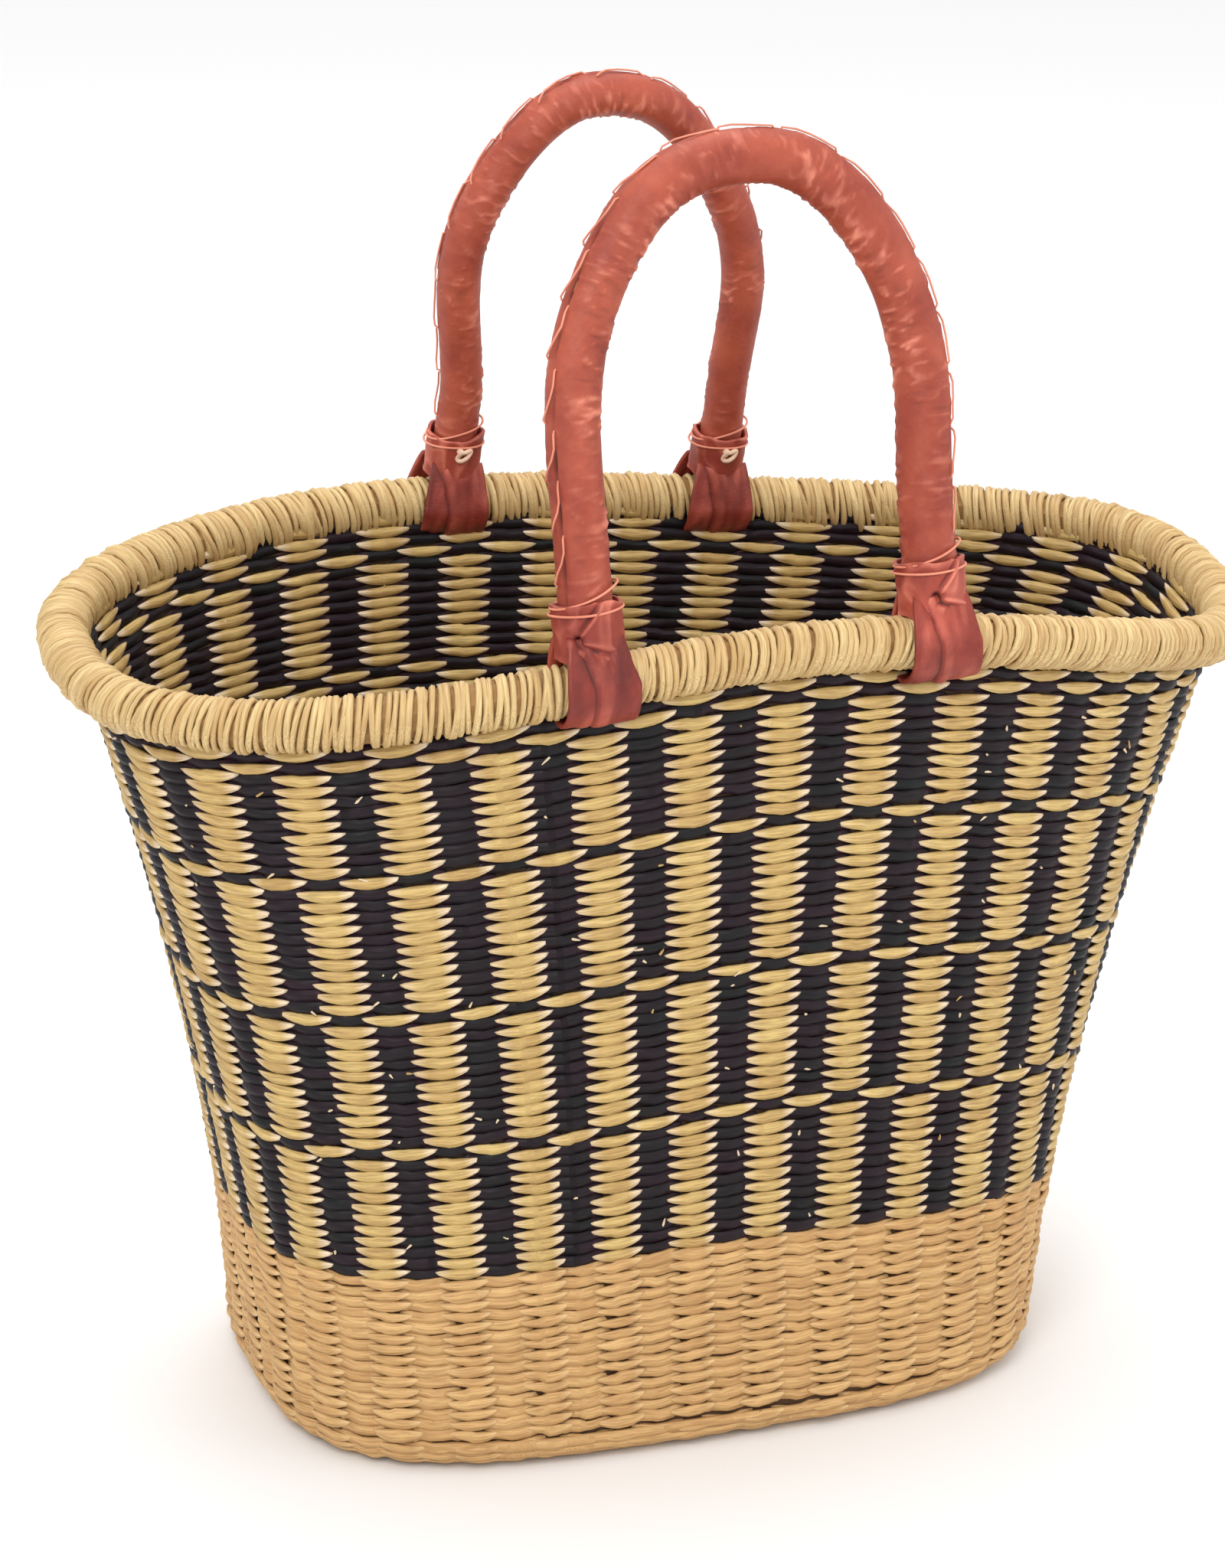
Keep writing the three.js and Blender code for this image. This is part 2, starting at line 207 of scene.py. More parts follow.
class Nodes:
    """A short way to place and link a tree's nodes."""

    def __init__(self, tree):
        self.tree = tree

    def feed(self, target, value):
        if isinstance(value, bpy.types.NodeSocket):
            self.tree.links.new(value, target)
        else:
            target.default_value = value

    def add(self, kind, inputs=None, **settings):
        node = self.tree.nodes.new(kind)
        for key, value in settings.items():
            setattr(node, key, value)
        for key, value in (inputs or {}).items():
            self.feed(node.inputs[key], value)
        return node

    def math(self, operation, *values, clamp=False):
        node = self.add("ShaderNodeMath", operation=operation, use_clamp=clamp)
        for i, value in enumerate(values):
            self.feed(node.inputs[i], value)
        return node.outputs[0]

    def mix(self, factor, a, b):
        node = self.add("ShaderNodeMix", data_type="RGBA", blend_type="MIX")
        for i, value in ((0, factor), (6, a), (7, b)):
            self.feed(node.inputs[i], value)
        return node.outputs[2]

    def attribute(self, name):
        return self.add("ShaderNodeAttribute", attribute_name=name).outputs["Fac"]

    def range(self, value, low, high, to_low=0.0, to_high=1.0):
        return self.add(
            "ShaderNodeMapRange",
            {"Value": value, "From Min": low, "From Max": high, "To Min": to_low, "To Max": to_high},
        ).outputs[0]


def rgb(r, g, b):
    """A colour given as screen values from 0 to 255."""

    def linear(c):
        c /= 255
        return c / 12.92 if c <= 0.04045 else ((c + 0.055) / 1.055) ** 2.4

    return (linear(r), linear(g), linear(b), 1.0)


def make_fibre_group():
    """Fine streaks that run along a straw, with blotches and a slow drift from straw to straw."""
    group = bpy.data.node_groups.new("straw_fibre", "ShaderNodeTree")
    socket(group, "Along", "NodeSocketFloat", "INPUT", 0.0)
    socket(group, "Tone", "NodeSocketFloat", "INPUT", 0.5)
    socket(group, "Side A", "NodeSocketFloat", "INPUT", 0.0)
    socket(group, "Side B", "NodeSocketFloat", "INPUT", 0.0)
    socket(group, "Streak", "NodeSocketFloat", "OUTPUT")
    socket(group, "Blotch", "NodeSocketFloat", "OUTPUT")
    n = Nodes(group)
    given = n.add("NodeGroupInput")
    place = n.add("ShaderNodeTexCoord").outputs["Object"]
    # Round the straw the pattern is fine, along it long, and no two straws have the same.
    other = n.math("MULTIPLY", given.outputs["Tone"], 400.0)
    run = n.math("ADD", n.math("MULTIPLY", given.outputs["Along"], 110.0), other)
    side_a = n.math("MULTIPLY", given.outputs["Side A"], 3.2)
    side_b = n.math("MULTIPLY", given.outputs["Side B"], 3.2)
    streaks = n.add("ShaderNodeCombineXYZ", {0: run, 1: side_a, 2: side_b})
    fine = n.add("ShaderNodeTexNoise", {"Vector": streaks.outputs[0], "Scale": 1.0, "Detail": 2.0})
    blotch = n.add("ShaderNodeTexNoise", {"Vector": place, "Scale": 55.0, "Detail": 3.0})
    out = n.add("NodeGroupOutput")
    group.links.new(fine.outputs[0], out.inputs["Streak"])
    group.links.new(blotch.outputs[0], out.inputs["Blotch"])
    return group


def straw_material(name, dull, clear, tip_colour, shadow, roughness, bump=0.25, shine=0.45):
    """Straw: two body colours by tone, a paler tip, fine dark streaks."""
    material = bpy.data.materials.new(name)
    material.use_nodes = True
    tree = material.node_tree
    tree.nodes.clear()
    n = Nodes(tree)
    fibre = n.add("ShaderNodeGroup", {}, node_tree=fibre_group)
    tree.links.new(n.attribute("along"), fibre.inputs["Along"])
    tree.links.new(n.attribute("tone"), fibre.inputs["Tone"])
    tree.links.new(n.attribute("side_a"), fibre.inputs["Side A"])
    tree.links.new(n.attribute("side_b"), fibre.inputs["Side B"])
    tone = n.attribute("tone")
    blend = n.math("ADD", n.math("MULTIPLY", tone, 0.65), n.math("MULTIPLY", fibre.outputs["Blotch"], 0.5), clamp=True)
    body = n.mix(blend, dull, clear)
    tipped = n.mix(n.math("MULTIPLY", n.attribute("tip"), 0.85, clamp=True), body, tip_colour)
    streak = n.range(fibre.outputs["Streak"], 0.62, 0.30, 0.0, 0.55)
    colour = n.mix(streak, tipped, shadow)
    rough = n.range(fibre.outputs["Streak"], 0.2, 0.8, roughness + 0.1, roughness - 0.08)
    relief = n.add("ShaderNodeBump", {"Height": fibre.outputs["Streak"], "Strength": bump, "Distance": 0.0004})
    shader = n.add(
        "ShaderNodeBsdfPrincipled",
        {"Base Color": colour, "Roughness": rough, "Normal": relief.outputs[0]},
    )
    shader.inputs["Specular IOR Level"].default_value = shine
    out = n.add("ShaderNodeOutputMaterial")
    tree.links.new(shader.outputs[0], out.inputs[0])
    return material


fibre_group = make_fibre_group()
NATURAL = straw_material(
    "natural_straw",
    dull=rgb(182, 146, 86),
    clear=rgb(208, 180, 114),
    tip_colour=rgb(240, 220, 190),
    shadow=rgb(118, 80, 42),
    roughness=0.55,
)
DARK = straw_material(
    "near_black_straw",
    dull=rgb(38, 14, 28),
    clear=rgb(18, 22, 22),
    tip_colour=rgb(74, 42, 54),
    shadow=rgb(7, 4, 6),
    roughness=0.5,
    bump=0.6,
    shine=0.22,
)
PLAIN = straw_material(
    "lower_straw",
    dull=rgb(186, 142, 88),
    clear=rgb(212, 172, 114),
    tip_colour=rgb(224, 188, 134),
    shadow=rgb(130, 86, 44),
    roughness=0.6,
)
RIM_STRAW = straw_material(
    "rim_straw",
    dull=rgb(186, 148, 92),
    clear=rgb(222, 196, 140),
    tip_colour=rgb(236, 208, 146),
    shadow=rgb(132, 94, 50),
    roughness=0.5,
)
# The rim's core: straw, made darker so that the gaps between the wraps show painted shade.
CORE_STRAW_WITH_GAP_SHADE = straw_material(
    "core_straw_with_painted_gap_shade",
    dull=rgb(150, 110, 62),
    clear=rgb(184, 144, 88),
    tip_colour=rgb(184, 144, 88),
    shadow=rgb(100, 66, 34),
    roughness=0.7,
)
# The stakes: dark straw, which also serves as painted shade in the gaps between the strands.
STAKE_STRAW_AND_GAP_SHADE = straw_material(
    "stake_straw_and_painted_gap_shade",
    dull=rgb(70, 46, 28),
    clear=rgb(104, 74, 44),
    tip_colour=rgb(104, 74, 44),
    shadow=rgb(50, 32, 18),
    roughness=0.7,
)

# ---------------------------------------------------------------- The weave

STAKES = 62
# One row's height, as a share of the rim's.
ROW = 0.01484
PLAIN_ROWS = 18
PATTERN_FROM = PLAIN_ROWS * ROW
# The pattern's bands, as the rows that each runs between, and the rows whose colours change places.
BANDS = [(18, 29), (30, 41), (42, 53), (54, 66)]
SWAPPED_ROWS = (29, 41, 53, 63)
# Where a natural column stands, as a share of the way round at the level LEAN_LEVEL, and how far it leans.
NATURAL_AT = 0.6700
COLUMN_LEAN = -0.0143
LEAN_LEVEL = 0.33

STRAND_HALF_HEIGHT = 2.25 * MM
STRAND_HALF_THICKNESS = 1.25 * MM
STRAND = profile("strand_section", STRAND_HALF_HEIGHT, STRAND_HALF_THICKNESS, 6)

# How much each stitch strays, as the spread of its draw: rise, tilt and reach in millimetres, width and tone as shares.
LOOSE_RISE = 0.12
LOOSE_TILT = 0.16
LOOSE_REACH = 0.12
LOOSE_WIDTH = 0.06
LOOSE_TONE = 0.14
# How far a stitch of the over strand rises at its leading and its trailing tip, in millimetres. Higher tips are paler.
LEADING_LIFT, TRAILING_LIFT = 1.15, 0.6
# How far the over strand's tips lie from their stitch's middle, in stakes.
TIP_PLACE = 0.69
# The share of the rim's height over which a wall row's upward direction is taken.
LEVEL_STEP = 0.01


def along_stakes(places, stakes):
    """A strand's points all the way round: places along half a pair of stakes, and the same mirrored."""
    pair = np.concatenate([places, 2 - places[-2:0:-1]])
    return (2 * np.arange(stakes // 2)[:, None] + pair).ravel()


def wall_row(k, places, swapped=False):
    """A wall row's line in the middle of the fabric: points, upward directions, outward normals and lean."""
    start = NATURAL_AT + COLUMN_LEAN * (k - LEAN_LEVEL)
    shares = start + (along_stakes(places, STAKES) + swapped) / STAKES
    t, _ = evenly(lambda a: fabric_oval(k, a), shares)

    def points_at(share):
        inset = level_normals(lambda a: fabric_oval(share, a), t) * RIM_INSET * share
        return np.column_stack([fabric_oval(share, t) - inset, share * rim_height(t)])

    out = level_normals(lambda a: fabric_oval(k, a), t)
    point = points_at(k)
    up = points_at(k + LEVEL_STEP) - point
    up /= np.linalg.norm(up, axis=1)[:, None]
    level = np.column_stack([out, np.zeros(len(t))])
    normal = level - up * np.sum(level * up, axis=1)[:, None]
    normal /= np.linalg.norm(normal, axis=1)[:, None]
    lean = np.arcsin(np.clip(np.sum(up * level, axis=1), -1, 1))
    return {"point": point, "up": up, "normal": normal, "lean": lean}


# The base's rows lie BASE_LIFT above the middle of the fabric, so that no strand goes below the floor. Past an inset
# of FEWER_PAST there are fewer stakes, BASE_STAKE_PITCH apart.
BASE_LIFT = 0.5 * MM
FEWER_PAST = 12 * MM
BASE_STAKE_PITCH = 13.5 * MM


def base_row(angle, inset, places, stakes=None):
    """A row of the rounded bottom edge, at an angle down it, or of the flat base, at an inset from it."""
    middle = BASE_EDGE_RADIUS - FABRIC / 2 - BASE_LIFT
    away = middle * (1 - math.cos(angle)) + inset
    girth = evenly(lambda a: fabric_oval(0, a, away), np.array([0.0]))[1]
    stakes = stakes or (STAKES if inset < FEWER_PAST else max(8, 2 * round(girth / (2 * BASE_STAKE_PITCH))))
    shares = NATURAL_AT - COLUMN_LEAN * LEAN_LEVEL + along_stakes(places, stakes) / stakes
    t, _ = evenly(lambda a: fabric_oval(0, a, away), shares)
    here = fabric_oval(0, t, away)
    out = level_normals(lambda a: fabric_oval(0, a, away), t)
    level = np.column_stack([out, np.zeros(len(t))])
    z = np.array([0, 0, 1.0])
    point = np.column_stack([here, np.full(len(t), BASE_EDGE_RADIUS - middle * math.sin(angle))])
    return {
        "point": point,
        "up": z * math.cos(angle) + level * math.sin(angle),
        "normal": level * math.cos(angle) - z * math.sin(angle),
        "lean": np.full(len(t), angle),
    }


# Half a pair of stakes, from the middle of a strand's outer stitch to the middle of its inner one. The over strand
# turns back on itself inside the fabric, so that its tips lie long on the under strand on both faces.
OVER_PLACES = np.array([0, 0.15, 0.3, 0.44, 0.57, 0.69, 0.31, 0.43, 0.56, 0.7, 0.85, 1])
OVER_WIDTH = np.array([1.02, 0.97, 0.84, 0.64, 0.42, 0.16, 0.16, 0.42, 0.64, 0.84, 0.97, 1.02])
OVER_FORWARD = np.array([1.85, 1.85, 1.80, 1.68, 1.50, 1.38, -1.38, -1.50, -1.68, -1.80, -1.85, -1.85])
UNDER_PLACES = np.array([0, 0.15, 0.3, 0.43, 0.57, 0.7, 0.85, 1])
UNDER_WIDTH = np.array([1.02, 1.04, 1.05, 1.06, 1.06, 1.05, 1.04, 1.02])
UNDER_FORWARD = np.array([1.66, 1.42, 0.70, 0.10, -0.10, -0.70, -1.42, -1.66])


def twine(row_at, over, start, looseness=1.0):
    """One of a row's two strands: it passes outside one stake and inside the next, all the way round."""
    places, width, forward = (
        (OVER_PLACES, OVER_WIDTH, OVER_FORWARD) if over else (UNDER_PLACES, UNDER_WIDTH, UNDER_FORWARD)
    )
    row = row_at(places)
    half = len(places) - 1
    count = len(row["point"])
    index = np.arange(count) % (2 * half)
    way = np.where(index > half, 2 * half - index, index)
    side = np.where(index > half, -1.0, 1.0)
    stitch = (np.arange(count) + half // 2) // half
    loose = rng.normal(0, 1, (stitch.max() + 2, 4))[stitch]
    from_middle = np.abs(places[way] - np.where(way > half / 2, 1, 0))
    tip = np.clip(from_middle / TIP_PLACE, 0, 1) ** 2
    lift = np.where(side * np.where(way > half / 2, -1, 1) > 0, LEADING_LIFT, TRAILING_LIFT)
    rise = (lift * tip - 0.2) if over else (0.12 - 0.3 * tip)
    rise = (rise + LOOSE_RISE * looseness * loose[:, 0] + LOOSE_TILT * looseness * loose[:, 1] * side) * MM
    reach = (forward[way] + LOOSE_REACH * looseness * loose[:, 1]) * MM
    points = row["point"] + row["normal"] * reach[:, None] + row["up"] * rise[:, None]
    straw = np.floor(np.arange(count) / (2 * half) / rng.uniform(4, 8) + rng.uniform(0, 5)).astype(int)
    tones = rng.uniform(0.1, 0.9, straw.max() + 2)[straw]
    return {
        "points": points,
        "radius": width[way] * (1 + LOOSE_WIDTH * looseness * loose[:, 2]),
        "tilt": row["lean"],
        "tone": np.clip(tones + LOOSE_TONE * loose[:, 3], 0, 1),
        "tip": np.clip((from_middle - 0.3) / 0.28, 0, 1) * lift,
        "start": start,
    }


plain_k = ROW * (np.arange(PLAIN_ROWS) + 0.5)
plain_k = plain_k[plain_k * RIM_HEIGHT > BASE_EDGE_RADIUS]

for band, (first, last) in enumerate(BANDS):
    light, dark = [], []
    for index in range(first, last + 1):
        k, swapped = (index + 0.5) * ROW, index in SWAPPED_ROWS
        light.append(twine(lambda places: wall_row(k, places, swapped), True, rng.uniform(0, 5)))
        dark.append(twine(lambda places: wall_row(k, places, not swapped), False, rng.uniform(0, 5)))
    for colour, runs, material in (("natural", light, NATURAL), ("dark", dark, DARK)):
        piece = strands(f"band_{band + 1}_{colour}_straws", runs, STRAND)
        piece.data.materials.append(material)
        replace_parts(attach(piece, "basket"), "patterned_wall_weave")

# The edge's rows, as angles down the rounding in degrees, and the flat base's, as insets in millimetres.
EDGE_ROWS = (12, 36, 60, 84)
BASE_ROWS = [4 + 4.3 * i for i in range(20)]
PLAIN_LOOSENESS = 1.5


def plain_rows(name, rows, node):
    """A piece of the plain weave, where both strands are natural straw."""
    runs = []
    for row_at in rows:
        runs.append(twine(lambda places: row_at(places, False), True, rng.uniform(0, 5), PLAIN_LOOSENESS))
        runs.append(twine(lambda places: row_at(places, True), False, rng.uniform(0, 5), PLAIN_LOOSENESS))
    piece = strands(name, runs, STRAND)
    piece.data.materials.append(PLAIN)
    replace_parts(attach(piece, "basket"), node)


def wall_at(k):
    """The wall row at k, as a call that takes its places and whether it is moved by one stake."""
    return lambda places, swapped: wall_row(k, places, swapped)


def base_at(angle, inset):
    """The same for a row of the base, at an angle in degrees and an inset in millimetres."""
    return lambda places, swapped: base_row(math.radians(angle), inset * MM, places + swapped)


plain_rows("lower_wall_straws", [wall_at(k) for k in plain_k[: len(plain_k) // 2]], "plain_wall_weave")
plain_rows("middle_wall_straws", [wall_at(k) for k in plain_k[len(plain_k) // 2 :]], "plain_wall_weave")
plain_rows("base_edge_straws", [base_at(angle, 0) for angle in EDGE_ROWS], "plain_wall_weave")
plain_rows("base_straws", [base_at(90, inset) for inset in BASE_ROWS], "base_weave")

# The stakes, in the middle of the fabric, from the middle of the base up to the rim. The layer has LAYER_STEPS steps
# and one ridge to each stake.
# The layer is a closed dark sheet: where the gaps between the strands show it, it stands for painted shade.
LAYER_STEPS = 5
LAYER_THICKNESS = 0.4 * MM
STAKE_RIDGE = 0.3
LAYER_PLACES = np.linspace(0, 1, LAYER_STEPS + 1)
LEVELS = [base_row(math.pi / 2, inset * MM, LAYER_PLACES, STAKES) for inset in (91.6, 80, 60, 40, 20, 6)]
LEVELS += [base_row(math.radians(a), 0, LAYER_PLACES, STAKES) for a in (90, 70, 50, 30, 10)]
LEVELS += [wall_row(k, LAYER_PLACES) for k in np.linspace(0.045, 0.995, 41)]
STAKE_POINTS = np.array([level["point"] for level in LEVELS])
STAKE_NORMALS = np.array([level["normal"] for level in LEVELS])


def stake_and_gap_shade_layer():
    """The stakes as one closed, dark, ribbed layer: a grid laid on the levels, with a ridge at each stake. Through the
    gaps between strands it shows as painted shade.
    """
    count = STAKE_POINTS.shape[1]
    sheet = bmesh.new()
    bmesh.ops.create_grid(sheet, x_segments=count, y_segments=len(LEVELS) - 1, size=0.5)
    for vert in sheet.verts:
        i = round((vert.co.x + 0.5) * count) % count
        j = round((vert.co.y + 0.5) * (len(LEVELS) - 1))
        ridge = STAKE_RIDGE * math.cos(TURN * i / LAYER_STEPS) * MM
        vert.co = Vector(STAKE_POINTS[j, i] + STAKE_NORMALS[j, i] * ridge)
    bmesh.ops.remove_doubles(sheet, verts=sheet.verts, dist=1e-6)
    bmesh.ops.recalc_face_normals(sheet, faces=sheet.faces)
    mesh = bpy.data.meshes.new("stakes")
    sheet.to_mesh(mesh)
    sheet.free()
    mesh.shade_smooth()
    made = placed("stakes", mesh)
    wall = made.modifiers.new("thickness", "SOLIDIFY")
    wall.thickness, wall.offset = LAYER_THICKNESS, 0
    made.data.materials.append(STAKE_STRAW_AND_GAP_SHADE)
    return made


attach(stake_and_gap_shade_layer(), "basket")

# ---------------------------------------------------------------- The rim

WRAPS = 440
CROSS_WRAPS = 110
WRAP_POINTS = 14
# The wraps bulge most at this angle round the rim, counted from level out, where they take in the wall's edge.
DROP_ANGLE = math.radians(238)


def rim_frame(shares):
    """Points on the rim's centreline, with the ways along it, level out of it and up."""
    t, _ = evenly(rim_oval, shares)
    plan = rim_oval(t)
    ahead = t + 1e-3
    along = np.column_stack([rim_oval(ahead) - plan, rim_height(ahead) - rim_height(t)])
    along /= np.linalg.norm(along, axis=1)[:, None]
    level = np.column_stack([along[:, 1], -along[:, 0], np.zeros(len(t))])
    level /= np.linalg.norm(level, axis=1)[:, None]
    up = np.cross(level, along)
    up *= np.sign(up[:, 2])[:, None]
    return np.column_stack([plan, rim_height(t)]), along, level, up


def wrap_runs(count, radius, slant, jitter):
    """Turns of straw round the rim's core, each closed on itself, at uneven slants and reaches, darker in tone where
    they bulge under the rim, as painted shade.
    """
    shares = (np.arange(count) + rng.uniform(-jitter, jitter, count)) / count
    centre, along, level, up = rim_frame(shares % 1.0)
    angle = TURN * np.arange(WRAP_POINTS) / WRAP_POINTS
    drop = np.maximum(0, np.cos(angle - DROP_ANGLE)) ** 4
    runs = []
    for i in range(count):
        wobble = rng.normal(0, 1, 6)
        reach = radius + 0.16 * wobble[0] + 0.22 * np.sin(2 * angle + 3 * wobble[1])
        reach += (1.3 + 0.5 * wobble[5]) * drop
        drift = (slant + 0.5 * wobble[2]) * np.sin(angle) + 0.3 * wobble[3] * np.cos(angle)
        points = (
            centre[i]
            + level[i] * (reach * MM * np.cos(angle))[:, None]
            + up[i] * (reach * MM * np.sin(angle))[:, None]
            + along[i] * (drift * MM)[:, None]
        )
        thick = rng.uniform(0.75, 1.2) * (1 + 0.12 * np.sin(angle + 3 * wobble[4]))
        runs.append(
            {
                "points": points,
                "radius": thick,
                # Darker in tone where the wraps bulge under the rim: painted shade.
                "tone": np.clip(rng.uniform(0, 1) - 0.35 * drop, 0, 1),
                "start": rng.uniform(0, 5),
            }
        )
    return runs


# Each kind of wrap: how many, how far out, how slanted, how unevenly spaced and how thick.
for name, count, radius, slant, jitter, thickness in (
    ("rim_wraps", WRAPS, 7.85, 1.5, 0.16, 1.22),
    ("rim_cross_wraps", CROSS_WRAPS, 7.9, 2.8, 0.5, 0.95),
):
    piece = strands(name, wrap_runs(count, radius, slant, jitter), None, "MINIMUM", depth=thickness * MM)
    piece.data.materials.append(RIM_STRAW)
    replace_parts(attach(piece, "basket"), "rim_binding")

# Loose ends: short broken straws that stand a little out of the dark columns.
LOOSE_ENDS = 240
ends = []
for _ in range(LOOSE_ENDS):
    row = wall_row(rng.uniform(PATTERN_FROM, 0.93), LAYER_PLACES)
    dark_column = 2 * LAYER_STEPS * rng.integers(0, STAKES // 2) + LAYER_STEPS
    i = int(dark_column + rng.integers(-1, 2)) % len(row["point"])
    side_way = np.cross(row["up"][i], row["normal"][i])
    outer = 1 if rng.uniform() < 0.7 else -1
    root = row["point"][i] + row["normal"][i] * outer * 2.2 * MM
    lean = side_way * rng.uniform(-1, 1) + row["up"][i] * rng.uniform(-0.6, 0.9)
    lean += row["normal"][i] * outer * 0.35
    length = rng.uniform(1.5, 4.0) * MM
    points = np.array([root, root + lean * length * 0.5, root + lean * length])
    taper = np.array([1, 0.9, 0.4])
    ends.append({"points": points, "radius": taper, "tone": np.ones(3), "tip": np.ones(3)})
piece = strands("loose_straw_ends", ends, None, cyclic=False, depth=0.5 * MM, resolution=0)
piece.data.materials.append(NATURAL)
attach(piece, "basket")

# ---------------------------------------------------------------- Leather


def leather_material(name, deep, body, worn_and_highlight, roughness):
    """Leather: mottled body, pale on the ridges of its creases, as wear and a painted highlight, and painted shade in
    their grooves.
    """
    material = bpy.data.materials.new(name)
    material.use_nodes = True
    tree = material.node_tree
    tree.nodes.clear()
    n = Nodes(tree)
    grain = n.add("ShaderNodeGroup", {"Scale": 1.0}, node_tree=grain_group)
    wear_and_painted_light = n.attribute("wear_and_painted_light")
    mottled = n.mix(grain.outputs["Mottle"], deep, body)
    patchy = n.range(grain.outputs["Mottle"], 0.25, 0.75, 0.35, 1.0)
    # Pale on the ridges of the creases: partly wear, partly a painted highlight.
    ridge = n.math("MULTIPLY", n.range(wear_and_painted_light, 0.1, 0.9, 0.0, 1.0), patchy)
    worn_and_highlit = n.mix(n.math("MULTIPLY", ridge, 0.8, clamp=True), mottled, worn_and_highlight)
    # Painted shade: the grooves of the creases are darkened towards a dark copy of the deep colour.
    painted_groove_shade = n.range(wear_and_painted_light, -0.12, -0.95, 0.0, 1.0)
    colour = n.mix(painted_groove_shade, worn_and_highlit, tuple(c * 0.28 for c in deep[:3]) + (1.0,))
    rough = n.range(grain.outputs["Grain"], 0.2, 0.8, roughness - 0.07, roughness + 0.1)
    relief = n.add("ShaderNodeBump", {"Height": grain.outputs["Grain"], "Strength": 0.3, "Distance": 0.0005})
    shader = n.add(
        "ShaderNodeBsdfPrincipled",
        {"Base Color": colour, "Roughness": rough, "Normal": relief.outputs[0]},
    )
    shader.inputs["Specular IOR Level"].default_value = 0.4
    out = n.add("ShaderNodeOutputMaterial")
    tree.links.new(shader.outputs[0], out.inputs[0])
    return material


def make_grain_group():
    """Leather grain and the mottling of its dye."""
    group = bpy.data.node_groups.new("leather_grain", "ShaderNodeTree")
    socket(group, "Scale", "NodeSocketFloat", "INPUT", 1.0)
    socket(group, "Grain", "NodeSocketFloat", "OUTPUT")
    socket(group, "Mottle", "NodeSocketFloat", "OUTPUT")
    n = Nodes(group)
    given = n.add("NodeGroupInput")
    place = n.add("ShaderNodeTexCoord").outputs["Object"]
    fine = n.math("MULTIPLY", given.outputs["Scale"], 900.0)
    pores = n.add("ShaderNodeTexVoronoi", {"Vector": place, "Scale": fine})
    wrinkles = n.add("ShaderNodeTexNoise", {"Vector": place, "Scale": 260.0, "Detail": 4.0})
    mottle = n.add("ShaderNodeTexNoise", {"Vector": place, "Scale": 38.0, "Detail": 4.0, "Roughness": 0.65})
    pitted = n.math("MULTIPLY", pores.outputs["Distance"], 0.45)
    grain = n.math("ADD", pitted, n.math("MULTIPLY", wrinkles.outputs[0], 0.75))
    spread = n.range(mottle.outputs[0], 0.32, 0.68)
    out = n.add("NodeGroupOutput")
    group.links.new(grain, out.inputs["Grain"])
    group.links.new(spread, out.inputs["Mottle"])
    return group


grain_group = make_grain_group()
HANDLE_LEATHER = leather_material(
    "handle_leather", deep=rgb(138, 52, 36), body=rgb(174, 82, 58), worn_and_highlight=rgb(226, 138, 114), roughness=0.5
)
CUFF_LEATHER = leather_material(
    "cuff_leather", deep=rgb(106, 30, 22), body=rgb(150, 56, 40), worn_and_highlight=rgb(212, 112, 92), roughness=0.5
)
SLEEVE_LEATHER = leather_material(
    "sleeve_leather", deep=rgb(124, 42, 30), body=rgb(164, 70, 52), worn_and_highlight=rgb(226, 132, 110), roughness=0.5
)
THREAD = leather_material(
    "pale_thread", deep=rgb(206, 122, 96), body=rgb(228, 150, 124), worn_and_highlight=rgb(240, 176, 150), roughness=0.6
)
KNOT = leather_material(
    "knot_cord", deep=rgb(208, 160, 130), body=rgb(240, 214, 190), worn_and_highlight=rgb(248, 232, 214), roughness=0.7
)

# ---------------------------------------------------------------- The handles, as their solids have them

# Heights above a foot, in millimetres: where the hoop starts to bend, the sleeve's top, its pinch, and the peg.
LEG_HEIGHT = 42
SLEEVE_TOP = 27.5
PINCH_HEIGHT = 15.6
PEG_HEIGHT = 26.5
# Lengths in millimetres, and lean in degrees, towards the other handle.
HANDLES = [
    {
        "name": "front",
        "side": -1,
        "middle": -1,
        "half_span": 60,
        "bulge": 0.06,
        "rise": 164.5,
        "squareness": 2.42,
        "radius": 9.5,
        "lean": 12.4,
    },
    {
        "name": "back",
        "side": 1,
        "middle": 5,
        "half_span": 51.5,
        "bulge": 0.12,
        "rise": 156,
        "squareness": 2.36,
        "radius": 8.1,
        "lean": 8.4,
    },
]


def rim_at(x, side):
    """The rim's centreline where it passes x, on the front or the back."""
    low, high = 0.0, math.pi
    for _ in range(40):
        middle = (low + high) / 2
        if rim_oval(middle)[0] > x:
            low = middle
        else:
            high = middle
    t = side * low
    plan = rim_oval(t)
    return Vector((plan[0], plan[1], float(rim_height(t))))


def handle_place(handle):
    """The handle's own frame, in metres: X from foot to foot, Z up the hoop; and how far the hoop leans along X."""
    feet = [rim_at((handle["middle"] + end * handle["half_span"]) * MM, handle["side"]) for end in (-1, 1)]
    line = (feet[1] - feet[0]).normalized()
    turn = Vector((1, 0, 0)).rotation_difference(line).to_matrix()
    turn = turn @ Matrix.Rotation(handle["side"] * math.radians(handle["lean"]), 3, "X")
    return Matrix.Translation((feet[0] + feet[1]) / 2) @ turn.to_4x4(), line.z / line.x


